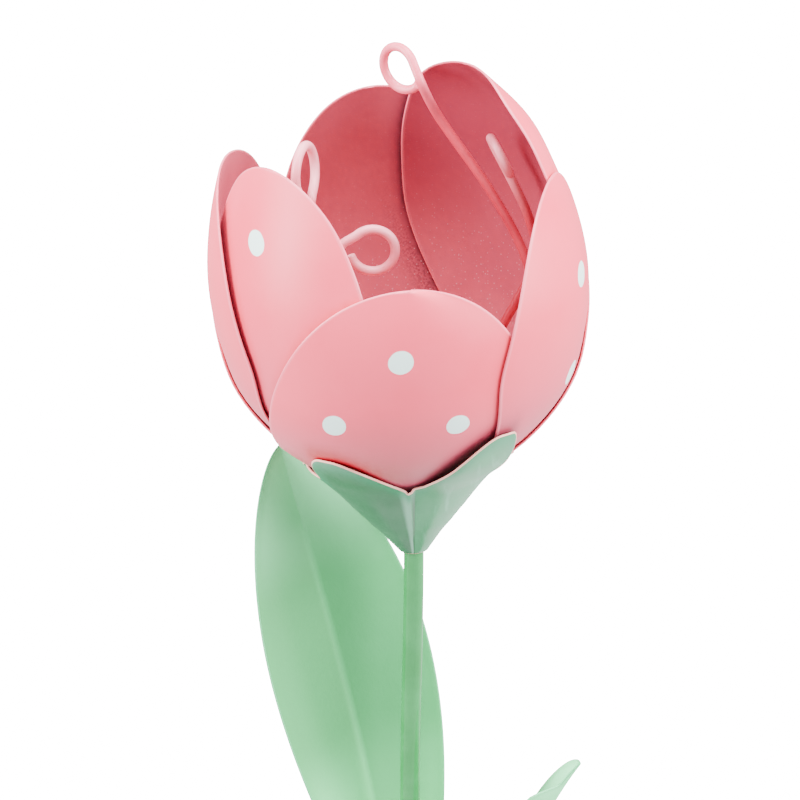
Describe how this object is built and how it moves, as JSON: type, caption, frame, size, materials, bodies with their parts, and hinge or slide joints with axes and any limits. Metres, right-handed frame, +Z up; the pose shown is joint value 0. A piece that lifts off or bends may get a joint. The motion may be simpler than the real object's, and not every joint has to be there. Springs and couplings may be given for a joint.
{
  "type": "metal tulip garden stake",
  "caption": "Painted sheet-metal tulip on a round rod, with wire stamens, two long leaves and a two-prong fork that pushes into soil",
  "frame": {"origin": "on the soil line, at the middle of the underside of the ground fork's crossbar", "axes": "+Z up along the stem; +X to the flower's right as its front is looked at; -Y towards the flower's front, where the short front petal is"},
  "size_m": [0.1126, 0.1124, 0.9104],
  "materials": {
    "petal_paint": "satin",
    "stamen_paint": "satin",
    "calyx_paint": "satin",
    "leaf_paint": "satin",
    "stem_paint": "satin"
  },
  "bodies": {
    "root": {"petal_tall_front_left": "petal_paint", "petal_tall_left": "petal_paint", "petal_tall_back_left": "petal_paint", "petal_tall_back_right": "petal_paint", "petal_tall_right": "petal_paint", "petal_short_front": "petal_paint", "petal_short_back_left": "petal_paint", "petal_short_back_right": "petal_paint", "stamen_tall": "stamen_paint", "stamen_left": "stamen_paint", "stamen_round": "stamen_paint", "stamen_right": "stamen_paint", "petal_collar": "stem_paint", "calyx": "calyx_paint", "stem": "stem_paint", "leaf_left": "leaf_paint", "leaf_right": "leaf_paint", "leaf_left_weld": "stem_paint", "leaf_right_weld": "stem_paint", "ground_fork": "stem_paint", "fork_weld": "stem_paint"}
  },
  "joints": []
}
